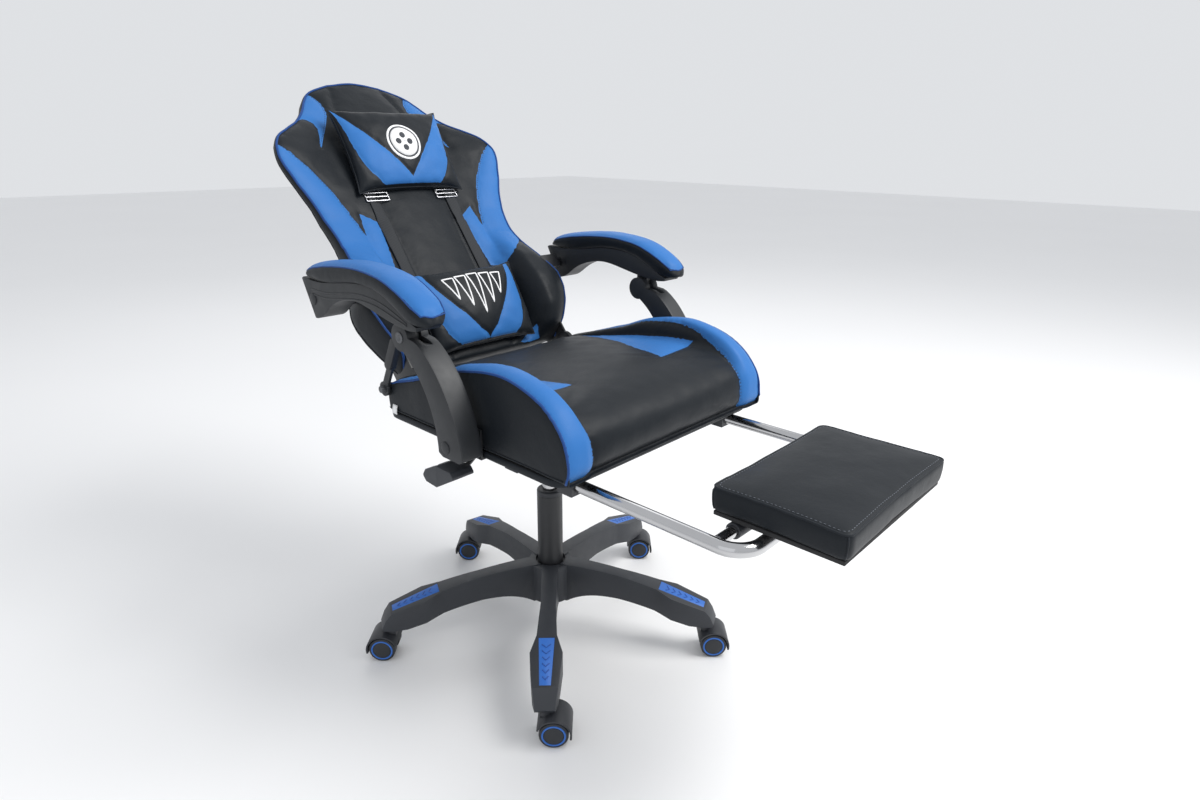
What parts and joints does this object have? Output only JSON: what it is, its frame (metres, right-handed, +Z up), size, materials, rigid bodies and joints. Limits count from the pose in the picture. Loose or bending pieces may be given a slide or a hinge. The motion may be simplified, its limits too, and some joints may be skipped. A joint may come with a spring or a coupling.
{
  "type": "gaming chair",
  "caption": "High-back swivel chair with a reclining racing-style back, linked armrests, tilting seat, gas height column, five-star caster base and a pull-out folding footrest.",
  "frame": {"origin": "on the floor under the column's axis", "axes": "+Z up, the chair faces -Y, the sitter's right hand is on -X"},
  "size_m": [0.7021, 1.2871, 1.0686],
  "materials": {
    "base_plastic": "moulded black nylon, satin",
    "insert_blue": "textured blue plastic",
    "black_paint": "black powder coat",
    "chrome": "polished chrome",
    "steel": "zinc plated",
    "caster_plastic": "moulded black nylon",
    "caster_wheel": "black nylon wheel with blue ring",
    "black_leather": "black grained synthetic leather",
    "blue_leather": "blue grained synthetic leather",
    "arm_plastic": "moulded black plastic, satin",
    "webbing": "woven black strap",
    "board": "plywood with black lining"
  },
  "bodies": {
    "base": {"base_star": "base_plastic", "base_inserts": "insert_blue", "column_tube": "black_paint", "column_collar": "caster_plastic"},
    "caster_1": {"caster_hood_1": "caster_plastic", "caster_pins_1": "steel"},
    "wheels_1": {"caster_wheels_1": "caster_wheel"},
    "caster_2": {"caster_hood_2": "caster_plastic", "caster_pins_2": "steel"},
    "wheels_2": {"caster_wheels_2": "caster_wheel"},
    "caster_3": {"caster_hood_3": "caster_plastic", "caster_pins_3": "steel"},
    "wheels_3": {"caster_wheels_3": "caster_wheel"},
    "caster_4": {"caster_hood_4": "caster_plastic", "caster_pins_4": "steel"},
    "wheels_4": {"caster_wheels_4": "caster_wheel"},
    "caster_5": {"caster_hood_5": "caster_plastic", "caster_pins_5": "steel"},
    "wheels_5": {"caster_wheels_5": "caster_wheel"},
    "piston": {"piston_rod": "steel", "thrust_bearing": "steel"},
    "mechanism": {"lift_tube": "chrome", "tilt_housing": "black_paint", "tilt_pin": "steel"},
    "knob": {"tension_knob": "base_plastic"},
    "lever_slide": {"lever_bush": "caster_plastic"},
    "gas_lever": {"gas_lever_rod": "black_paint", "gas_lever_paddle": "base_plastic"},
    "seat": {"seat_plate": "black_paint", "seat_bolts": "steel", "seat_board": "board", "seat_cushion": "black_leather", "seat_bolster_left": "black_leather", "seat_bolster_right": "black_leather", "footrest_guides": "caster_plastic", "post_mounts": "black_paint", "recliner_seat_plates": "black_paint", "recliner_spindles": "steel"},
    "recline_handle": {"recline_lever": "arm_plastic"},
    "backrest": {"back_frame": "black_paint", "back_cushion": "black_leather", "back_cover": "black_leather", "back_wings": "black_leather", "lumbar_bolsters": "black_leather", "recliner_back_plates": "black_paint", "armrest_mounts": "black_paint", "pillow_straps": "webbing"},
    "head_rest": {"head_pillow": "black_leather", "strap_buckles": "caster_plastic"},
    "lumbar_rest": {"lumbar_pillow": "black_leather"},
    "armrest_left": {"armrest_shell_left": "arm_plastic", "armrest_pad_left": "blue_leather"},
    "post_left": {"armrest_post_left": "arm_plastic"},
    "armrest_right": {"armrest_shell_right": "arm_plastic", "armrest_pad_right": "blue_leather"},
    "post_right": {"armrest_post_right": "arm_plastic"},
    "footrest": {"footrest_frame": "chrome"},
    "footrest_top": {"footrest_sleeve": "caster_plastic", "footrest_board": "board", "footrest_pad": "black_leather"}
  },
  "joints": [
    {"name": "caster_swivel_1", "type": "hinge", "parent": "base", "child": "caster_1", "pos_m": [-0.22746, -0.22509, 0.06], "axis": [0, 0, 1], "continuous": true},
    {"name": "wheel_spin_1", "type": "hinge", "parent": "caster_1", "child": "wheels_1", "pos_m": [-0.21728, -0.23611, 0.025], "axis": [0.7349, 0.6782, 0], "continuous": true},
    {"name": "caster_swivel_2", "type": "hinge", "parent": "base", "child": "caster_2", "pos_m": [0.14378, -0.28588, 0.06], "axis": [0, 0, 1], "continuous": true},
    {"name": "wheel_spin_2", "type": "hinge", "parent": "caster_2", "child": "wheels_2", "pos_m": [0.15395, -0.2969, 0.025], "axis": [0.7349, 0.6782, 0], "continuous": true},
    {"name": "caster_swivel_3", "type": "hinge", "parent": "base", "child": "caster_3", "pos_m": [0.31632, 0.0484, 0.06], "axis": [0, 0, 1], "continuous": true},
    {"name": "wheel_spin_3", "type": "hinge", "parent": "caster_3", "child": "wheels_3", "pos_m": [0.32649, 0.03738, 0.025], "axis": [0.7349, 0.6782, 0], "continuous": true},
    {"name": "caster_swivel_4", "type": "hinge", "parent": "base", "child": "caster_4", "pos_m": [0.05171, 0.31579, 0.06], "axis": [0, 0, 1], "continuous": true},
    {"name": "wheel_spin_4", "type": "hinge", "parent": "caster_4", "child": "wheels_4", "pos_m": [0.04154, 0.32682, 0.025], "axis": [-0.7349, -0.6782, 0], "continuous": true},
    {"name": "caster_swivel_5", "type": "hinge", "parent": "base", "child": "caster_5", "pos_m": [-0.28436, 0.14677, 0.06], "axis": [0, 0, 1], "continuous": true},
    {"name": "wheel_spin_5", "type": "hinge", "parent": "caster_5", "child": "wheels_5", "pos_m": [-0.29453, 0.15779, 0.025], "axis": [-0.7349, -0.6782, 0], "continuous": true},
    {"name": "seat_swivel", "type": "hinge", "parent": "base", "child": "piston", "pos_m": [0, 0, 0.2], "axis": [0, 0, 1], "continuous": true},
    {"name": "seat_height", "type": "slide", "parent": "piston", "child": "mechanism", "axis": [0, 0, 1], "range_m": [-0.1, 0]},
    {"name": "tension_knob_turn", "type": "hinge", "parent": "mechanism", "child": "knob", "pos_m": [0, -0.066, 0.395], "axis": [0, 0, 1], "range_deg": [-180, 180]},
    {"name": "tilt_lock_pull", "type": "slide", "parent": "mechanism", "child": "lever_slide", "axis": [-1, 0, 0], "range_m": [0, 0.012]},
    {"name": "gas_lever_lift", "type": "hinge", "parent": "lever_slide", "child": "gas_lever", "pos_m": [-0.063, 0.01, 0.438], "axis": [0, 1, 0], "range_deg": [0, 4], "stiffness_Nm_per_rad": 8, "springref_deg": -6.88},
    {"name": "seat_tilt", "type": "hinge", "parent": "mechanism", "child": "seat", "pos_m": [0, -0.062, 0.448], "axis": [-1, 0, 0], "range_deg": [0, 12]},
    {"name": "backrest_recline", "type": "hinge", "parent": "seat", "child": "backrest", "pos_m": [0, 0.146, 0.538], "axis": [-1, 0, 0], "range_deg": [-26, 27]},
    {"name": "recline_lever_pull", "type": "hinge", "parent": "seat", "child": "recline_handle", "pos_m": [-0.25, 0.146, 0.538], "axis": [-1, 0, 0], "range_deg": [0, 20], "stiffness_Nm_per_rad": 1.2, "springref_deg": -8.59},
    {"name": "head_pillow_slide", "type": "slide", "parent": "backrest", "child": "head_rest", "axis": [0, 0.6157, 0.788], "range_m": [-0.06, 0.03]},
    {"name": "lumbar_pillow_slide", "type": "slide", "parent": "backrest", "child": "lumbar_rest", "axis": [0, 0.6157, 0.788], "range_m": [0, 0.08]},
    {"name": "armrest_pivot_left", "type": "hinge", "parent": "backrest", "child": "armrest_left", "pos_m": [0.29, 0.248, 0.69], "axis": [-1, 0, 0], "range_deg": [-27, 26]},
    {"name": "post_pivot_left", "type": "hinge", "parent": "seat", "child": "post_left", "pos_m": [0.281, -0.094, 0.512], "axis": [-1, 0, 0], "range_deg": [-26, 27]},
    {"name": "armrest_pivot_right", "type": "hinge", "parent": "backrest", "child": "armrest_right", "pos_m": [-0.29, 0.248, 0.69], "axis": [-1, 0, 0], "range_deg": [-27, 26]},
    {"name": "post_pivot_right", "type": "hinge", "parent": "seat", "child": "post_right", "pos_m": [-0.281, -0.094, 0.512], "axis": [-1, 0, 0], "range_deg": [-26, 27]},
    {"name": "footrest_slide", "type": "slide", "parent": "seat", "child": "footrest", "axis": [0, -1, 0], "range_m": [-0.16, 0]},
    {"name": "footrest_flip", "type": "hinge", "parent": "footrest", "child": "footrest_top", "pos_m": [0, -0.508, 0.472], "axis": [1, 0, 0], "range_deg": [-180, 0]}
  ],
  "couplings": [
    {"joint": "armrest_pivot_left", "follows": "backrest_recline", "ratio": -1},
    {"joint": "post_pivot_left", "follows": "backrest_recline", "ratio": 1},
    {"joint": "armrest_pivot_right", "follows": "backrest_recline", "ratio": -1},
    {"joint": "post_pivot_right", "follows": "backrest_recline", "ratio": 1}
  ]
}
